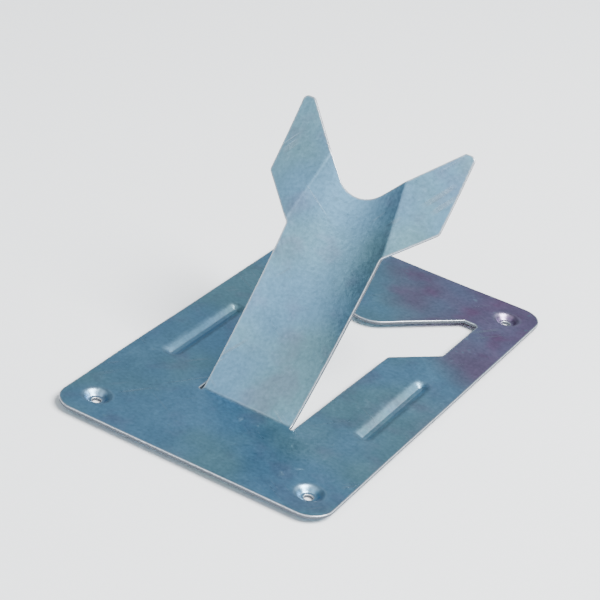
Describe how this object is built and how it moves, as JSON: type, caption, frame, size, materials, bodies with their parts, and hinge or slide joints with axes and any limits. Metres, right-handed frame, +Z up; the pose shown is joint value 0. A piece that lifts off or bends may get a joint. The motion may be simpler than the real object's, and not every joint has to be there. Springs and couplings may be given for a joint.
{
  "type": "soldering iron stand",
  "caption": "Flat rectangular sheet-steel base with a bent-up tongue that ends in a V-shaped rest for a soldering iron's barrel.",
  "frame": {"origin": "under the middle of the base, on the bench that the foot dimples rest on", "axes": "+X to the right, +Y along the base from the bend end towards the end that the tongue leans over, +Z up"},
  "size_m": [0.065, 0.112, 0.0534],
  "materials": {
    "zinc_plated_steel": "zinc plated and blue passivated, satin"
  },
  "bodies": {
    "root": {"stand_plate": "zinc_plated_steel"}
  },
  "joints": []
}
